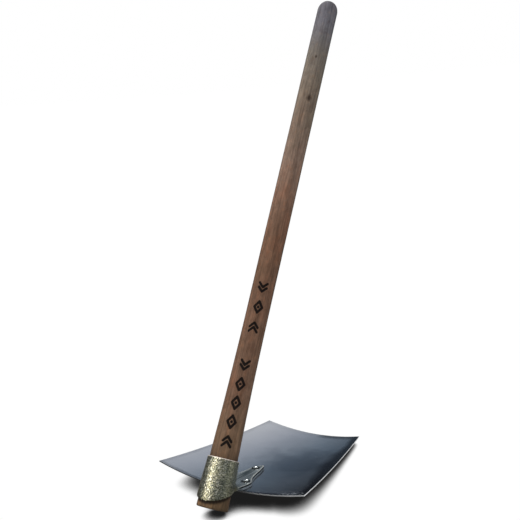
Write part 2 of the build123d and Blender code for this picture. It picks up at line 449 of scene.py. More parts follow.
def foot_rings(angles):
    """The square-cut foot: growth rings, saw marks and short radial checks."""
    flat_r = FOOT_R - FOOT_BREAK
    checks = ((0.9, 0.045), (2.7, 0.035), (4.4, 0.05), (5.5, 0.03))  # angle, width
    rings = []
    for radius in [flat_r - 0.02, *np.linspace(flat_r - 0.6, 0.9, 30)]:
        x, y = radius * np.cos(angles), radius * np.sin(angles)
        if rings:
            growth = 0.5 + 0.5 * np.sin(np.hypot(x - 31, y + 12) * 2 * math.pi / 2.9
                                        + 0.8 * np.sin(x * 0.21 + y * 0.13))
            saw = smooth_noise(15, 64, 64, x * 0.9 + y * 0.35 + 40, y * 0.12 - x * 0.05 + 40)
            z = 0.16 * growth + 0.16 * saw
            for centre, width in checks:
                aside = angle_gap(angles, centre + 0.01 * radius) / width
                z = z + 0.9 * np.exp(-aside ** 2) * clip01((radius - 7) / 12)
        else:
            z = np.zeros_like(x)
        rings.append(np.stack([x, y, z], -1))
    return rings


def build_handle():
    columns, dome_steps = 168, 22
    eye_top, marks_top = 84, 380      # close stations between these heights
    stations = np.concatenate([np.linspace(FOOT_BREAK, eye_top, 43)[:-1],
                               np.linspace(eye_top, marks_top, 280)[:-1],
                               np.linspace(marks_top, HANDLE_LEN - GRIP_R, 190)])
    angles = np.arange(columns) / columns * 2 * math.pi
    angle, z = np.meshgrid(angles, stations)
    radius = handle_radius(z)
    across = angle_gap(angle, MARKED_SIDE) * radius
    marks = mark_field(across, z)
    cut = handle_cut(angle, z, marks)
    radius = radius - cut + 0.25 * clip01((z - 82) / 10)
    body = np.stack([radius * np.cos(angle), radius * np.sin(angle), z], -1).reshape(-1, 3)

    dome = []
    for k in range(1, dome_steps):
        rise = k / dome_steps * math.pi / 2
        cells = noise_round(14, 16, 16, angles, np.full(columns, k / 3.0))
        ring_r = (GRIP_R - cut[-1] - 0.12 * cells) * math.cos(rise)
        ring_z = HANDLE_LEN - GRIP_R + GRIP_R * math.sin(rise) - 0.15
        dome.append(np.stack([ring_r * np.cos(angles), ring_r * np.sin(angles),
                              np.full(columns, ring_z)], -1))
    foot = foot_rings(angles)
    ends = np.array([[0, 0, HANDLE_LEN - 0.12], [0, 0, 0.1]])
    points = np.concatenate([body] + dome + foot + [ends])

    rows = len(stations) + len(dome)
    foot_base = rows * columns
    last_row = foot_base - columns
    last_foot = foot_base + (len(foot) - 1) * columns
    tip, middle = len(points) - 2, len(points) - 1
    pairs = [(c, (c + 1) % columns) for c in range(columns)]
    faces = grid_faces(rows, columns, True)
    faces += [(last_row + c, last_row + d, tip) for c, d in pairs]
    faces += [(c, foot_base + c, foot_base + d, d) for c, d in pairs]
    faces += grid_faces(len(foot), columns, True, foot_base, True)
    faces += [(last_foot + d, last_foot + c, middle) for c, d in pairs]
    obj = make_mesh("handle_wood", points, faces)

    # an oval of scorching round each mark
    nearest = np.min([np.hypot(across / 9.5, (z - height) / 13.0) for _, height in MARKS], 0)
    add_attribute(obj.data, "burn", marks.ravel())
    add_attribute(obj.data, "scorch", clip01(1.25 - nearest).ravel())
    return obj


# Wood colour: share of the height, colour. Olive brown foot, warm brown, then greying.
WOOD_STOPS = [
    (0.0, "#745e44"), (0.02, "#725d44"), (0.055, "#6a553f"), (0.09, "#7c634d"),
    (0.185, "#775c4a"), (0.27, "#765947"), (0.41, "#785a47"), (0.47, "#795b48"),
    (0.55, "#806453"), (0.635, "#846e60"), (0.72, "#806f61"), (0.79, "#7d7063"),
    (0.87, "#776f67"), (0.905, "#716d6e"), (0.945, "#6e6c73"), (1.0, "#6a686f")]


def wood_material():
    wood = Material("oiled_hardwood")
    times, remap, mix = wood.times, wood.remap, wood.mix
    point = wood.coords()
    x, y, z = wood.xyz(point)
    height = wood.math("DIVIDE", z, HANDLE_LEN, clamp=True)
    sway = wood.noise(point, stretch=(0.012, 0.012, 0.004), detail=2.0)
    sway = times(wood.minus(sway, 0.5), 9.0)

    # long grain: the patterns are drawn out along the handle
    def straight(squash):
        return wood.vector(x, y, times(z, squash))

    def swaying(squash):
        return wood.vector(wood.plus(x, sway), wood.plus(y, sway), times(z, squash))

    grain = wood.noise(swaying(0.022), scale=0.42, detail=6.0, rough=0.62, warp=0.35)
    lines = wood.noise(straight(0.035), scale=1.7, detail=4.0, rough=0.6)
    pores = wood.noise(straight(0.09), scale=4.2, rough=0.6)
    blotch = wood.noise(point, stretch=(0.03, 0.03, 0.011), detail=4.0, rough=0.6)
    figure = wood.noise(swaying(0.055), scale=0.16, detail=5.0, rough=0.6, warp=0.8)
    fleck = wood.noise(point, stretch=(0.9, 0.9, 0.30), rough=0.7)
    mottle = wood.noise(point, stretch=(0.11, 0.11, 0.055), rough=0.65, warp=0.6)
    warm_mottle = wood.noise(point, stretch=(0.19, 0.19, 0.10), detail=2.0, rough=0.6,
                             warp=0.4)

    # broad figure, dark then light
    base = wood.ramp(height, WOOD_STOPS)
    color = mix(remap(figure, over=(0.52, 0.70)), base, wood.tint(base, 0.66))
    color = mix(remap(figure, over=(0.46, 0.30)), color, wood.tint(base, 1.30))
    # field, range it fades in over, strength, factor on the colour
    for field, over, strength, factor in (
            (grain, (0.50, 0.70), 0.75, 0.55),
            (grain, (0.46, 0.28), 0.60, 1.35),
            (lines, (0.52, 0.70), 0.55, 0.55),
            (pores, (0.55, 0.72), 0.60, 0.50),
            (fleck, (0.58, 0.72), 0.45, 0.60),
            (fleck, (0.42, 0.28), 0.35, 1.40),
            (mottle, (0.52, 0.64), 0.55, (0.70, 0.64, 0.60)),
            (mottle, (0.48, 0.36), 0.55, (1.36, 1.30, 1.26)),
            (warm_mottle, (0.55, 0.66), 0.50, (1.22, 1.04, 0.90))):
        color = wood.patch(color, field, over, strength, wood.tint(color, factor))
    # warm blotches below the grey grip, olive ones everywhere
    warm = times(remap(blotch, over=(0.52, 0.70)), remap(height, over=(0.86, 0.60)), 0.55)
    color = mix(warm, color, wood.tint(color, (1.30, 0.98, 0.86)))
    color = wood.patch(color, blotch, (0.46, 0.30), 0.5,
                       wood.tint(color, (0.84, 0.90, 0.84)))

    for angle, knot_z, radius in KNOTS:
        surface_r = float(handle_radius(knot_z))
        away = wood.node("ShaderNodeVectorMath", operation="DISTANCE")
        wood.put(away.inputs[0], straight(KNOT_SQUASH))
        away.inputs[1].default_value = (surface_r * math.cos(angle),
                                        surface_r * math.sin(angle), knot_z * KNOT_SQUASH)
        ragged = wood.plus(away.outputs["Value"], times(wood.minus(lines, 0.5), 2.4))
        color = mix(remap(ragged, over=(radius * 2.6, radius * 0.8), to=(0.0, 0.85)),
                    color, "#33251c")

    # hand dirt towards the eye
    darkening = times(remap(z, over=(96, 76)), remap(lines, over=(0.3, 0.62), to=(0.35, 1.0)),
                  0.65)
    color = mix(darkening, color, "#3a2c20")
    # painted light: the lower foot is made paler, except towards its -y side
    painted_foot_light = times(remap(z, over=(22, 10)), remap(y, over=(-25, -7)))
    color = mix(painted_foot_light, color, wood.tint(color, (2.10, 2.02, 1.98)))
    # painted shade: a dark slanting band just under the socket
    below = wood.minus(wood.plus(times(x, 0.52), 24.5), z)
    painted_shade_under_socket = times(remap(below, over=(8.0, 4.4)), remap(below, over=(-3.0, -1.5)),
                 remap(lines, over=(0.3, 0.6), to=(0.75, 1.0)), 0.96)
    color = mix(painted_shade_under_socket, color, "#170d05")
    # dark edge round the foot
    foot = times(remap(z, over=(5, 0.2)), remap(grain, over=(0.3, 0.6), to=(0.4, 1.0)), 0.6)
    color = mix(foot, color, "#2f271c")
    # burnt marks and the scorching round them
    burn = wood.attribute("burn")
    scorch = times(wood.attribute("scorch"),
                   remap(lines, over=(0.3, 0.7), to=(0.5, 1.0)), 0.28)
    color = mix(scorch, color, "#4a3224")
    color = mix(remap(burn, over=(0.05, 0.45), to=(0, 0.97)), color, "#120d0b")
    # painted shade: darker where the surface turns away from the view
    facing = wood.node("ShaderNodeLayerWeight")
    facing.inputs["Blend"].default_value = 0.5
    turned = remap(facing.outputs["Facing"], over=(0.60, 0.90), to=(0.0, 0.78))
    color = mix(turned, color, wood.tint(color, (0.34, 0.32, 0.32)))

    relief = wood.plus(times(grain, -0.5), wood.plus(times(lines, -0.5), times(pores, -0.5)))
    return wood.finish(
        Base_Color=color,
        Roughness=wood.plus(remap(grain, over=(0.3, 0.7), to=(0.50, 0.66)),
                            times(burn, 0.25)),
        Specular_IOR_Level=0.16,
        Normal=wood.bump(relief, distance=0.0006, strength=0.55))


# ---------------------------------------------------------------- blade
# Stations in from a rounded edge, and back from the cutting edge across the bevel
EDGE_STEPS = np.array([0.0, 0.06, 0.16, 0.30, 0.45, 0.8, 1.6])
BEVEL_STEPS = np.array([10.5, 9.4, 9.0, 8.6, 7, 5, 3])
NEAR_HALF_WIDTH = 118.0               # turns the edge steps into shares across


def round_off(inset, radius):
    """Drop of a rounded edge, 0 beyond its radius."""
    q = np.clip(inset, 0, radius)
    return -(radius - np.sqrt(np.clip(radius * radius - (radius - q) ** 2, 0, None)))


def build_blade():
    along = np.concatenate([EDGE_STEPS, np.linspace(3.0, BLADE_LEN - 12, 110),
                            BLADE_LEN - BEVEL_STEPS, BLADE_LEN - EDGE_STEPS[::-1]])
    steps, inner = EDGE_STEPS / NEAR_HALF_WIDTH, 1 - 3.0 / NEAR_HALF_WIDTH
    across = np.concatenate([-1 + steps, np.linspace(-inner, inner, 150), (1 - steps)[::-1]])
    s, t = np.meshgrid(along / BLADE_LEN, across, indexing="ij")
    from_end = np.minimum(s, 1 - s) * BLADE_LEN
    from_side = (1 - np.abs(t)) * (blade_width(s) / 2)
    inset = np.minimum(from_end, from_side)

    # planished by hand: very shallow hollows
    ripple = (smooth_noise(21, 16, 16, s * 4.3, t * 2.4 + 5) - 0.5) * 0.22
    ripple += (smooth_noise(22, 40, 40, s * 17, t * 11 + 20) - 0.5) * 0.010
    ripple = ripple * clip01(inset / 6) - 0.11
    top = round_off(inset, 0.45) + ripple * clip01(inset)
    at_mm = s * BLADE_LEN
    bevelled = clip01((at_mm - (BLADE_LEN - BEVEL)) / BEVEL)
    thickness = SHEET - (SHEET - EDGE_THICK) * bevelled
    low = -thickness - round_off(inset, 0.4) * np.where(at_mm > BLADE_LEN - 1.0, 0.4, 1.0)
    low = np.minimum(low, top - 0.12)
    # nicks in the cutting edge
    nick = (0.55 * clip01(smooth_noise(23, 90, 4, t * 40 + 45, np.zeros_like(t)) - 0.62)
            * clip01((s - 0.985) / 0.015))
    setback = BLADE_DIR * nick[..., None] * 1.6
    points = np.concatenate([(blade_point(s, t, lift) - setback).reshape(-1, 3)
                             for lift in (top, low)])

    rows, columns = s.shape
    count = rows * columns
    faces = grid_faces(rows, columns, False) + grid_faces(rows, columns, False, count, True)
    rim = [(0, c) for c in range(columns)]
    rim += [(r, columns - 1) for r in range(1, rows)]
    rim += [(rows - 1, c) for c in range(columns - 2, -1, -1)]
    rim += [(r, 0) for r in range(rows - 2, 0, -1)]
    rim = [r * columns + c for r, c in rim]
    faces += [(i, count + i, count + j, j) for i, j in zip(rim, rim[1:] + rim[:1])]
    obj = make_mesh("blade_sheet", points, faces)

    signed_side = np.where(t < 0, -1.0, 1.0) * np.maximum(from_side, 0.01)
    for name, values in (("from_edge", inset), ("along", s), ("from_side", signed_side),
                         ("across", t)):
        add_attribute(obj.data, name, np.tile(values.ravel(), 2))
    return obj


def blade_material():
    steel = Material("polished_sheet_steel")
    times, plus, remap, mix = steel.times, steel.plus, steel.remap, steel.mix
    point = steel.coords()
    inset, along, across, side = (steel.attribute(name) for name in
                                  ("from_edge", "along", "across", "from_side"))
    along_mm = times(along, BLADE_LEN)
    cloud = steel.noise(point, stretch=(0.02, 0.02, 0.02), detail=4.0, rough=0.55)
    spots = steel.noise(point, scale=0.35, detail=4.0, rough=0.6)
    scratch = steel.noise(point, stretch=(0.02, 1.6, 0.02), rough=0.6)
    long_scratch = steel.noise(point, stretch=(1.1, 0.05, 1.1), rough=0.6)
    waver = steel.minus(steel.noise(point, stretch=(0.03, 0.03, 0.03)), 0.5)

    color = mix(remap(cloud, over=(0.35, 0.7)), (0.88, 0.885, 0.89), (0.78, 0.795, 0.81))
    # painted reflection: the sheet is paler towards its +y side
    color = mix(remap(across, over=(0.25, 0.8), to=(0, 0.7)), color, (0.95, 0.955, 0.965))
    color = steel.patch(color, spots, (0.68, 0.80), 0.25, (0.50, 0.50, 0.51))
    # painted reflection: one darker cloud beside the tongue; centre and reach along, then across
    dx = steel.math("DIVIDE", steel.minus(along, 0.50), 0.31)
    dy = steel.math("DIVIDE", plus(across, 0.42), 0.80)
    away = plus(steel.math("SQRT", plus(times(dx, dx), times(dy, dy))), times(waver, 0.9))
    color = steel.patch(color, away, (1.0, 0.35), 0.64, (0.26, 0.29, 0.34))
    # painted dark reflection along the -y margin, widest (mm) halfway up; a fainter one on the
    # other
    middle = remap(steel.math("ABSOLUTE", steel.minus(along, 0.50)), over=(0.34, 0.05))
    width = plus(times(middle, 15.0), 18.0)
    from_side = plus(steel.math("ABSOLUTE", side), times(waver, 12.0))
    skin = times(remap(steel.math("DIVIDE", from_side, width), over=(1.05, 0.45)),
                 remap(side, over=(0.001, -0.001)), 0.90)
    faint_painted_reflection = times(remap(from_side, over=(9, 1), to=(0, 0.35)),
                  remap(side, over=(-0.001, 0.001)))
    color = mix(skin, color, (0.11, 0.115, 0.13))
    color = mix(faint_painted_reflection, color, (0.40, 0.41, 0.43))
    # painted dark reflections: a line behind the eye edge, and another behind the cutting edge's
    # -y part
    eye_line = times(remap(plus(along_mm, times(waver, 10.0)), over=(7.5, 4.0)),
                     remap(spots, over=(0.35, 0.6), to=(0.55, 0.95)),
                     remap(across, over=(0.95, -0.1), to=(0.35, 1.0)),
                     remap(across, over=(-0.86, -0.60)))
    color = mix(eye_line, color, (0.10, 0.105, 0.12))
    cut_line = times(remap(along_mm, over=(BLADE_LEN - 16, BLADE_LEN - 7)),
                     remap(spots, over=(0.35, 0.6), to=(0.55, 1.0)),
                     remap(across, over=(-0.12, -0.28), to=(0.10, 0.92)))
    color = mix(cut_line, color, (0.13, 0.14, 0.145))
    # scuffs by the -y corner of the eye edge
    scuff = steel.noise(point, stretch=(0.42, 0.15, 0.42), detail=4.0, rough=0.7)
    scuff = times(remap(scuff, over=(0.55, 0.63)), remap(along_mm, over=(18.0, 9.0)),
                  remap(across, over=(-0.62, -0.78)))
    color = mix(times(scuff, 0.40), color, (0.80, 0.84, 0.88))
    # the sheared edge itself is bare; its colour is painted shade, with a painted highlight
    # along the -y side
    bare = remap(inset, over=(0.42, 0.10))
    on_side = remap(steel.math("ABSOLUTE", side), over=(0.60, 0.40))
    on_eye = times(steel.minus(1.0, on_side), remap(along_mm, over=(5.0, 2.0)))
    painted_edge_highlight = plus(times(on_side, remap(across, over=(0.1, -0.1), to=(0.25, 1.0))),
                  times(on_eye, remap(across, over=(0.15, -0.95), to=(0.02, 0.50))))
    color = mix(bare, color, mix(painted_edge_highlight, (0.10, 0.105, 0.11), (0.95, 0.95, 0.955)))

    roughness = plus(remap(cloud, over=(0.3, 0.7), to=(0.17, 0.22)),
                     times(remap(scratch, over=(0.55, 0.8)), 0.03),
                     times(remap(along, over=(0.955, 0.985)), 0.06),
                     times(scuff, 0.3), times(bare, 0.35))
    metal = steel.minus(1.0, times(bare, painted_edge_highlight, 0.8))
    metal = steel.minus(metal, times(scuff, 0.28), clamp=True)
    scratches = steel.bump(plus(times(scratch, 0.5), times(long_scratch, 0.3)),
                           distance=0.00002, strength=0.5)
    return steel.finish(
        Base_Color=color, Roughness=roughness, Metallic=metal,
        Normal=steel.bump(cloud, distance=0.0010, strength=0.08, under=scratches))


# ---------------------------------------------------------------- eye socket
# Outline of the tongue: along, across the blade
TONGUE = [
    (-9.0, 20.5), (0.0, 23.6), (11.5, 25.9), (22.0, 27.4), (29.0, 26.9), (36.0, 23.4),
    (45.0, 18.0), (56.0, 14.8), (70.0, 12.3), (84.0, 10.6), (91.0, 8.9), (97.0, 5.2),
    (101.5, 1.6), (104.3, -1.6), (102.6, -3.6), (97.0, -5.4), (84.0, -8.6), (70.0, -11.0),
    (56.0, -14.2), (45.0, -18.0), (36.0, -23.4), (29.0, -26.9), (22.0, -27.4),
    (11.5, -25.9), (0.0, -23.6), (-9.0, -20.5)]


def remeshed_socket():
    """The CAD socket as one even, dense skin."""
    mesh = frame["nodes"]["eye_socket"].data.copy()
    mesh.materials.clear()
    mesh.name = "socket_forging"
    obj = bpy.data.objects.new("socket_forging", mesh)
    bpy.context.scene.collection.objects.link(obj)
    remesh = obj.modifiers.new("remesh", "REMESH")
    remesh.mode = "VOXEL"
    remesh.voxel_size = 0.00062
    remesh.use_smooth_shade = True
    graph = bpy.context.evaluated_depsgraph_get()
    skin = bpy.data.meshes.new_from_object(obj.evaluated_get(graph), depsgraph=graph)
    obj.modifiers.clear()
    obj.data = skin
    skin.name = "socket_forging"
    return obj


def read_vertices(mesh, what):
    values = np.zeros(len(mesh.vertices) * 3, np.float32)
    mesh.vertices.foreach_get(what, values)
    return values.reshape(-1, 3)


def hammer_dents(points):
    """Overlapping shallow bowls in two sizes, and a fine noise."""
    dents, fine = np.zeros(len(points)), np.zeros(len(points))
    for i, place in enumerate(points):
        place = Vector(place)
        large = noise.voronoi(place / 3.4)[0][0]
        small = noise.voronoi(place / 2.3 + Vector((7, 3, 1)))[0][0]
        dents[i] = 0.18 * (min(large, 1.0) ** 2) + 0.17 * (min(small, 1.0) ** 2)
        fine[i] = noise.noise(place / 1.5)
    return dents - 0.16 + 0.05 * fine, fine


def build_socket():
    obj = remeshed_socket()
    mesh = obj.data
    points = unlean(np.asarray(read_vertices(mesh, "co"), float) * 1000.0)
    normals = unlean(read_vertices(mesh, "normal"))
    x, y, z = points.T
    radius = np.hypot(x, y)
    wood_r = handle_radius(np.clip(z, 0, None))
    inward = (normals[:, 0] * x + normals[:, 1] * y) < 0
    bore = (radius < wood_r + 0.9) & (z > -5) & (z < 76.5) & inward
    # place along the blade, and height above its upper face
    along = (points - BLADE_START) @ BLADE_DIR
    s = np.clip(along / BLADE_LEN, -0.06, 1)
    lift = (points - blade_point(s, 2 * y / blade_width(s))) @ BLADE_UP
    facing = normals @ BLADE_UP
    tongue = clip01((radius - 30.0) / 8.0)
    on_top = clip01((facing - 0.3) / 0.4)
    seat = (lift < 0.6) & (facing < -0.5)

    # dents on the eye, lengthwise streaks on the tongue; bore and seat stay true
    dents, fine = hammer_dents(points)
    broad = smooth_noise(31, 64, 64, y / 3.0 + 30, along / 24.0 + 9) - 0.5
    narrow = smooth_noise(32, 64, 64, y / 0.9 + 30, along / 9.0 + 9) - 0.5
    streaks = 0.20 * broad + 0.10 * narrow + 0.06 * fine
    amount = ((1 - tongue) * dents
              + tongue * np.where(on_top > 0, streaks * on_top, 0.05 * fine))
    amount = np.where(bore | seat, 0.0, np.minimum(amount, 0.12) - 0.06)
    moved = points + normals * amount[:, None]
    moved_r = np.maximum(np.hypot(moved[:, 0], moved[:, 1]), 1e-6)
    moved[:, :2] *= np.where(bore, (wood_r + 0.2) / moved_r, 1.0)[:, None]
    mesh.vertices.foreach_set("co", to_row(moved).astype(np.float32).reshape(-1))
    mesh.update()
    mesh.polygons.foreach_set("use_smooth", [True] * len(mesh.polygons))

    from_outline = path_distance(along, y, TONGUE)
    # painted shade on the tongue's sides
    painted_flank_shade = clip01((0.45 - facing) / 0.3) * (from_outline < 1.2) * tongue
    # painted shadow round each rivet on the tongue's top
    ring = np.zeros(len(points))
    for _, _, rivet_along, rivet_across, _ in RIVETS:
        away = np.hypot(along - rivet_along + 0.9, y - rivet_across - 0.7)
        ring = np.maximum(ring, clip01((9.0 - away) / 1.6) * on_top * tongue)
    for name, values in (
            ("dent", dents), ("tongue", tongue),
            # the eye's top rim, for a painted highlight
            ("rim", clip01(z - 74.3) * (radius < 31)),
            # edge wear, with a painted highlight along the tongue's top edge
            ("edge_wear_and_highlight", on_top * clip01((2.7 - from_outline) / 1.3) * tongue),
            # painted reflection along the foot of the tongue's sides
            ("painted_flank_shade", painted_flank_shade), ("painted_foot_reflection", painted_flank_shade * clip01((1.5 - lift) / 0.7)),
            ("ring", ring)):
        add_attribute(mesh, name, values)
    mesh.update()
    return obj


def socket_material():
    forging = Material("hammered_forging")
    times, plus, remap, mix = forging.times, forging.plus, forging.remap, forging.mix
    point = forging.coords()
    x, y, z = forging.xyz(point)
    tongue, rim, edge_wear_and_highlight, painted_flank_shade, painted_foot_reflection, ring = (
        forging.attribute(name)
        for name in ("tongue", "rim", "edge_wear_and_highlight", "painted_flank_shade", "painted_foot_reflection", "ring"))
    mottle = forging.noise(point, scale=0.75, detail=4.0, rough=0.6)
    broad = forging.noise(point, scale=0.09)
    fine = forging.noise(point, scale=1.1, rough=0.6)
    speck = forging.noise(point, scale=0.62, detail=1.0, rough=0.4)
    cells = forging.node("ShaderNodeSeparateColor")
    forging.put(cells.inputs[0], forging.voronoi(point, 0.46, "Color"))

    # the eye: golden, with facets and specks
    gold = mix(remap(mottle, over=(0.36, 0.62)), "#87866c", "#c3bc9a")
    # field, range it fades in over, strength, colour
    for field, over, strength, top in (
            (broad, (0.45, 0.62), 0.35, "#85907c"),
            (fine, (0.56, 0.70), 0.35, "#4e4c3e"),
            (cells.outputs[0], (0.58, 0.80), 0.70, "#f6efd6"),
            (cells.outputs[1], (0.58, 0.80), 0.62, "#3e3d33"),
            (speck, (0.60, 0.66), 0.60, "#fffbe8"),
            (speck, (0.40, 0.34), 0.35, "#4a4838")):
        gold = forging.patch(gold, field, over, strength, top)
    # painted shade: the -y side is a darker, greyer green
    gold = forging.patch(gold, plus(times(x, 0.26), times(y, -0.97)), (2.0, 20.0), 0.55,
                         "#7d8070")

    # the tongue: streaked steel
    streak = forging.noise(forging.vector(times(x, 0.05), y, times(z, 0.05)),
                           scale=0.34, rough=0.6)
    steel = mix(remap(streak, over=(0.38, 0.62)), "#5f6969", "#d6dbd7")
    steel = forging.patch(steel, mottle, (0.55, 0.72), 0.5, "#4f544c")
    # painted reflection: lighter towards the tongue's -y side
    steel = forging.patch(steel, y, (5.0, -10.0), 0.38, "#c6cbc8")
    # mask, strength, colour; painted shadow, wear and painted highlight, painted shade, painted
    # reflection
    for mask, strength, top in ((ring, 0.80, "#1f2422"), (edge_wear_and_highlight, 0.80, "#d3d6d0"),
                                (painted_flank_shade, 0.95, "#14181b"), (painted_foot_reflection, 0.90, "#c3ccd2")):
        steel = mix(times(mask, strength), steel, top)

    color = mix(tongue, gold, steel)
    # painted highlight: a pale cream line round the eye's top rim
    color = mix(times(rim, remap(mottle, over=(0.3, 0.5), to=(0.7, 1.0))), color, "#f0e2d6")
    # darker towards the bottom of the eye
    darkening = times(remap(z, over=(24, 8)), remap(mottle, over=(0.35, 0.6), to=(0.2, 0.8)),
                  forging.minus(1.0, tongue))
    color = mix(darkening, color, "#5d5136")
    # less metallic where the painted rim highlight, the painted reflection and the edge wear lie
    wear_and_painted_light = times(forging.math("MAXIMUM", painted_foot_reflection, times(edge_wear_and_highlight, 0.5)), 0.7)
    dull = forging.math("MAXIMUM", times(rim, 0.65), wear_and_painted_light)
    relief = plus(times(fine, 0.3), forging.voronoi(point, 0.42, "Distance"))
    relief = mix(tongue, relief, times(streak, 0.8))
    return forging.finish(
        Base_Color=color,
        Roughness=plus(remap(mottle, over=(0.3, 0.7), to=(0.22, 0.36)),
                       times(remap(fine, over=(0.5, 0.7)), 0.10)),
        Metallic=forging.minus(0.95, dull),
        Normal=forging.bump(relief, distance=0.00048, strength=0.9))


# ---------------------------------------------------------------- rivets
HEAD_R, HEAD_H = 6.4, 3.2
SHANK_R = 3.0
TAIL_R, TAIL_H = 4.6, 1.6
TONGUE_THICK = 4.5
HEAD_BASE = TONGUE_THICK + 0.08       # above the blade's upper face
TAIL_BASE = -SHEET - 0.06


def rivet_profile():
    """(radius, height) from the crown of the head down to the middle of the tail."""
    sphere_r = (HEAD_R * HEAD_R + HEAD_H * HEAD_H) / (2 * HEAD_H)
    profile = []
    for k in range(14):
        bend = math.asin(HEAD_R / sphere_r) * k / 14
        profile.append((sphere_r * math.sin(bend),
                        HEAD_BASE + HEAD_H - sphere_r * (1 - math.cos(bend))))
    profile += [(HEAD_R - 0.02, HEAD_BASE + 0.35), (HEAD_R - 0.08, HEAD_BASE + 0.12),
                (HEAD_R - 0.32, HEAD_BASE), (SHANK_R + 0.4, HEAD_BASE),
                (SHANK_R, HEAD_BASE - 0.1), (SHANK_R, TAIL_BASE + 0.1),
                (TAIL_R - 0.5, TAIL_BASE), (TAIL_R - 0.08, TAIL_BASE - 0.15),
                (TAIL_R, TAIL_BASE - 0.4)]
    # share of the tail's radius, share of its height
    profile += [(TAIL_R * wide, TAIL_BASE - TAIL_H * deep) for wide, deep in
                ((0.93, 0.62), (0.74, 0.88), (0.5, 0.98), (0.25, 1.0), (0.0, 1.0))]
    return profile


def build_rivet(name, along, across, seed):
    normal = blade_normal(along, across)
    centre = on_blade(along, across)
    axis_u = BLADE_DIR - normal * (BLADE_DIR @ normal)
    axis_u /= np.linalg.norm(axis_u)
    axis_v = np.cross(normal, axis_u)
    segments = 56
    rng = np.random.RandomState(seed)
    # hammer dents: place, radius, depth
    dents = [(rng.uniform(-4.5, 4.5), rng.uniform(-4.5, 4.5), rng.uniform(1.4, 2.6),
              rng.uniform(0.05, 0.14)) for _ in range(16)]
    points, rings = [], []
    for radius, height in rivet_profile():
        ring = []
        for i in range(1 if radius < 1e-6 else segments):
            angle = 2 * math.pi * i / segments
            # slightly out of round
            wobble = (1 - 0.012 * (0.5 + 0.5 * math.sin(3 * angle + seed))
                      - 0.008 * (0.5 + 0.5 * math.sin(5 * angle + 2 * seed)))
            x, y = radius * wobble * math.cos(angle), radius * wobble * math.sin(angle)
            z = height
            if height > HEAD_BASE + 0.4 or height < TAIL_BASE - 0.5:
                for dent_x, dent_y, dent_r, depth in dents:
                    q = math.hypot(x - dent_x, y - dent_y) / dent_r
                    if q < 1:
                        z -= math.copysign(depth * (1 - q * q) ** 2, height)
            ring.append(len(points))
            points.append(centre + axis_u * x + axis_v * y + normal * z)
        rings.append(ring)
    faces = []
    for upper, lower in zip(rings, rings[1:]):
        for i in range(segments):
            j = (i + 1) % segments
            if len(upper) == 1:
                faces.append((upper[0], lower[i], lower[j]))
            elif len(lower) == 1:
                faces.append((upper[j], upper[i], lower[0]))
            else:
                faces.append((upper[i], lower[i], lower[j], upper[j]))
    obj = make_mesh(name, np.array(points), faces)
    offset = np.array(points) - centre
    offset = offset - np.outer(offset @ normal, normal)
    add_attribute(obj.data, "painted_head_shade", clip01(np.linalg.norm(offset, axis=1) / HEAD_R))
    return obj


def rivet_material():
    rivet = Material("bright_rivet_steel")
    point = rivet.coords()
    fine = rivet.noise(point, scale=0.8, detail=4.0, rough=0.6)
    broad = rivet.noise(point, scale=0.22)
    color = rivet.mix(rivet.remap(fine, over=(0.4, 0.68)), "#c4cac9", "#9aa09e")
    color = rivet.patch(color, broad, (0.55, 0.7), 0.5, "#76766a")
    # painted shade: dark towards the rim of the head
    color = rivet.patch(color, rivet.attribute("painted_head_shade"), (0.60, 0.84), 0.92, "#15181a")
    return rivet.finish(Base_Color=color, Metallic=0.95,
                        Roughness=rivet.remap(fine, over=(0.3, 0.7), to=(0.14, 0.26)),
                        Normal=rivet.bump(fine, distance=0.0002, strength=0.5))


# ---------------------------------------------------------------- put together
BOX_TOLERANCE = 0.0015                # metres


def install(obj, material, joint, node):
    """Hands a piece to the frame; it has to fill the box of the CAD piece it replaces."""
    obj.data.materials.append(material)
    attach(obj, joint)
    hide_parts(node)
    lo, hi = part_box(node)
    places = np.array([v.co for v in obj.data.vertices])
    gaps = np.abs([places.min(0) - np.array(lo), places.max(0) - np.array(hi)])
    if gaps.max() > BOX_TOLERANCE:
        raise RuntimeError(f"{obj.name} does not match the CAD node {node}")


install(build_handle(), wood_material(), "handle", "handle")
install(build_blade(), blade_material(), "head", "blade")
install(build_socket(), socket_material(), "head", "eye_socket")
rivet_steel = rivet_material()
rivets = []
for rivet_name, rivet_node, rivet_along, rivet_across, rivet_seed in RIVETS:
    rivets.append(build_rivet(rivet_name, rivet_along, rivet_across, rivet_seed))
    install(rivets[-1], rivet_steel, "head", rivet_node)

# ---------------------------------------------------------------- floor
scene = bpy.context.scene
FLOOR_X = 0.25
FLOOR_Z = cad_lo.z - 0.0004
FLOOR_SEGMENTS = 48
# Rings of the floor: radius, rise
FLOOR_RINGS = ((0.4, 0), (1.0, 0), (2.0, 0), (4.0, 0), (6.5, 0), (8.0, 0.25), (9.0, 1.2))


def build_floor():
    bm = bmesh.new()
    centre = bm.verts.new((FLOOR_X, 0, FLOOR_Z))
    turns = [2 * math.pi * i / FLOOR_SEGMENTS for i in range(FLOOR_SEGMENTS)]
    inner = None
    for radius, rise in FLOOR_RINGS:
        outer = [bm.verts.new((FLOOR_X + radius * math.cos(turn), radius * math.sin(turn),
                               FLOOR_Z + rise)) for turn in turns]
        for i in range(FLOOR_SEGMENTS):
            j = (i + 1) % FLOOR_SEGMENTS
            if inner is None:
                bm.faces.new((centre, outer[i], outer[j]))
            else:
                bm.faces.new((inner[i], outer[i], outer[j], inner[j]))
        inner = outer
    mesh = bpy.data.meshes.new("studio_floor")
    bm.to_mesh(mesh)
    bm.free()
    floor = bpy.data.objects.new("studio_floor", mesh)
    scene.collection.objects.link(floor)
    return floor


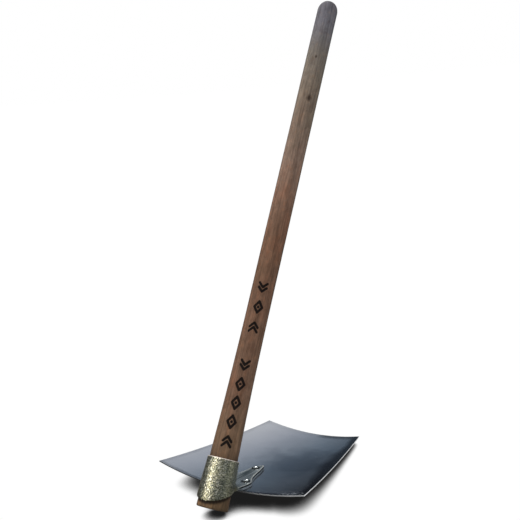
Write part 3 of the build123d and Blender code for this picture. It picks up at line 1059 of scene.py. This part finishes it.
def floor_material():
    """Glowing white, with a painted shadow only close under the object."""
    pale = Material("floor_pale")
    point = pale.node("ShaderNodeTexCoord").outputs["Object"]
    occlusion = pale.node("ShaderNodeAmbientOcclusion", samples=48)
    occlusion.inputs["Distance"].default_value = 0.068
    shade = pale.node("ShaderNodeMapRange", clamp=True, interpolation_type="SMOOTHSTEP")
    pale.put(shade.inputs[0], occlusion.outputs["AO"])
    # openness from, to; brightness from, to
    for i, value in enumerate((0.23, 0.61, 0.012, 1.0)):
        shade.inputs[i + 1].default_value = value
    glow = pale.node("ShaderNodeEmission")
    pale.put(glow.inputs["Color"], pale.mix(pale.noise(point, scale=2.0), (1.0, 1.0, 1.0),
                                            (1.02, 1.02, 1.02)))
    pale.put(glow.inputs["Strength"], shade.outputs[0])
    pale.put(pale.output.inputs[0], glow.outputs[0])
    return pale.material


floor = build_floor()
floor.data.materials.append(floor_material())
floor.visible_glossy = False
floor.visible_diffuse = False
floor.visible_shadow = False

scene.view_settings.view_transform = "Standard"
scene.view_settings.look = "None"
scene.view_settings.exposure = 0.0
scene.view_settings.gamma = 1.0

# ---------------------------------------------------------------- world
# Sky seen in reflections: elevation in degrees, colour
SKY = [(-20, "#6c6c6a"), (-13, "#4c4c4b"), (-8, "#2a2a2b"), (-4, "#101115"), (1, "#15161a"),
       (4, "#272c33"), (7, "#343c47"), (10, "#3c4854"), (13, "#465361"), (16, "#55626f"),
       (20, "#6b747f"), (24, "#828893"), (28, "#8f939c"), (33, "#a2a4a9"), (45, "#b0b2b6"),
       (60, "#bfc1c4"), (80, "#c8cacc")]


def build_world():
    """Plain white to the camera, soft light on surfaces, a graded sky in reflections."""
    world = bpy.data.worlds.new("studio")
    scene.world = world
    world.use_nodes = True
    sky = Nodes(world.node_tree)

    def background(color, strength):
        made = sky.node("ShaderNodeBackground")
        sky.put(made.inputs[0], color)
        made.inputs[1].default_value = strength
        return made.outputs[0]

    def choose(switch, off, on):
        made = sky.node("ShaderNodeMixShader")
        for i, value in enumerate((switch, off, on)):
            sky.put(made.inputs[i], value)
        return made.outputs[0]

    split = sky.node("ShaderNodeSeparateXYZ")
    sky.put(split.inputs[0], sky.node("ShaderNodeTexCoord").outputs["Generated"])
    elevation = sky.node("ShaderNodeMath", operation="ARCSINE")
    sky.put(elevation.inputs[0], split.outputs[2])
    lowest, highest = SKY[0][0], SKY[-1][0]
    share = sky.remap(elevation.outputs[0],
                      over=(math.radians(lowest), math.radians(highest)))
    stops = [((degrees - lowest) / (highest - lowest), code) for degrees, code in SKY]
    rays = sky.node("ShaderNodeLightPath").outputs
    lighting = choose(rays["Is Glossy Ray"], background((0.97, 0.985, 1.0), 0.55),
                      background(sky.ramp(share, stops), 1.28))
    result = choose(rays["Is Camera Ray"], lighting, background((1.0, 1.0, 1.0), 1.0))
    sky.put(sky.node("ShaderNodeOutputWorld").inputs[0], result)


build_world()


# ---------------------------------------------------------------- lights
def softbox(name, direction, distance, size, power, target=(0.12, 0.0, 0.12),
            color=(1, 1, 1), glossy=True, diffuse=True):
    """A rectangular light that looks at the target from the given direction."""
    toward = Vector(direction).normalized()
    lamp = bpy.data.lights.new(name, "AREA")
    lamp.shape = "RECTANGLE"
    lamp.size, lamp.size_y = size
    lamp.energy, lamp.color = power, color
    obj = bpy.data.objects.new(name, lamp)
    scene.collection.objects.link(obj)
    obj.location = Vector(target) + toward * distance
    obj.rotation_mode = "QUATERNION"
    obj.rotation_quaternion = (-toward).to_track_quat("-Z", "Y")
    obj.visible_glossy = glossy
    obj.visible_diffuse = diffuse
    return obj


softbox("key", direction=(-0.508, 0.543, 0.668), distance=1.7, size=(0.42, 0.9), power=11.0,
        color=(1.0, 0.98, 0.94), glossy=False)
softbox("glint", direction=(-0.775, 0.400, 0.490), distance=1.6, size=(0.26, 0.9), power=7.1,
        color=(1.0, 0.98, 0.93), diffuse=False)
softbox("fill", direction=(0.25, -0.93, -0.02), distance=2.2, size=(0.8, 0.9), power=2.6,
        color=(0.96, 1.0, 0.97), diffuse=False)
softbox("bounce", direction=(-0.15, -0.95, 0.25), distance=2.6, size=(1.4, 1.4), power=9.0,
        target=(0.25, 0.0, 0.4), glossy=False)
softbox("top", direction=(0.45, 0.35, 1.0), distance=2.4, size=(1.2, 1.2), power=34.0,
        glossy=False)


def light_rivet_heads():
    """A small light for the heads alone, mirrored a little to one side of their crowns."""
    normal = row_direction(blade_normal(*RIVETS[0][2:4]))
    view = Vector((-0.703, -0.557, 0.443)).normalized()
    side = Vector((0.470, -0.831, -0.299))
    tilt = math.tan(math.radians(11))

    def in_plane(vector):
        return (vector - normal * vector.dot(normal)).normalized()

    crown = (normal + in_plane(side) * tilt + in_plane(view) * tilt).normalized()
    spark = softbox("spark", direction=crown * (2 * crown.dot(view)) - view, distance=1.3,
                    size=(0.56, 0.24), power=6.6, diffuse=False)
    heads = bpy.data.collections.new("rivet_heads")
    for obj in rivets:
        heads.objects.link(obj)
    spark.light_linking.receiver_collection = heads


light_rivet_heads()

# ---------------------------------------------------------------- camera
# Place (mm) and directions in the handle frame
CAMERA_PLACE = (-952.9, -637.6, 55.4)
CAMERA_RIGHT = (0.4972, -0.8393, 0.2200)
CAMERA_FORWARD = (0.7872, 0.5430, 0.2924)


def build_camera():
    lens = bpy.data.cameras.new("camera")
    camera = bpy.data.objects.new("camera", lens)
    scene.collection.objects.link(camera)
    forward = row_direction(CAMERA_FORWARD)
    up = row_direction(CAMERA_RIGHT).cross(forward).normalized()
    right = forward.cross(up).normalized()
    turn = Matrix((right, up, -forward)).transposed()
    camera.matrix_world = Matrix.Translation(to_row(CAMERA_PLACE)[0]) @ turn.to_4x4()
    lens.sensor_width = 36.0
    lens.lens = 48.7523077
    lens.clip_start, lens.clip_end = 0.01, 60.0
    scene.camera = camera


build_camera()
